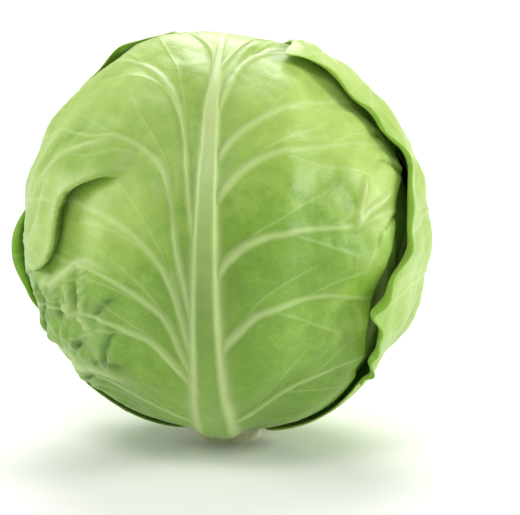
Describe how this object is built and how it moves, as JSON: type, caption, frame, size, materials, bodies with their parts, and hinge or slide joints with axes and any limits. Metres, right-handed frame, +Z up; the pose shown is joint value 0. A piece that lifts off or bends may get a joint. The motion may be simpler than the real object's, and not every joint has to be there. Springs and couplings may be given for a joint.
{
  "type": "green cabbage",
  "caption": "Whole green cabbage head standing on its cut stalk: ribbed wrapper leaves with waved, rolled edges around a dense heart.",
  "frame": {"origin": "middle of the stalk's cut face, which the cabbage stands on", "axes": "+Z up along the stalk, -Y out through the middle of the front leaf, +X towards the outermost leaf's rolled edge"},
  "size_m": [0.1872, 0.1847, 0.1844],
  "materials": {
    "leaf_outer": "satin, waxy green leaf with pale ribs",
    "leaf_inner": "satin, fresh green leaf",
    "heart": "satin, pale packed leaves",
    "stalk": "matte, freshly cut pale stalk"
  },
  "bodies": {
    "root": {"stalk": "stalk", "heart": "heart", "leaf_inner_right": "leaf_inner", "leaf_inner_left": "leaf_inner", "leaf_inner_back": "leaf_inner", "leaf_front": "leaf_outer", "leaf_back_left": "leaf_outer", "leaf_outer_right": "leaf_outer"}
  },
  "joints": []
}
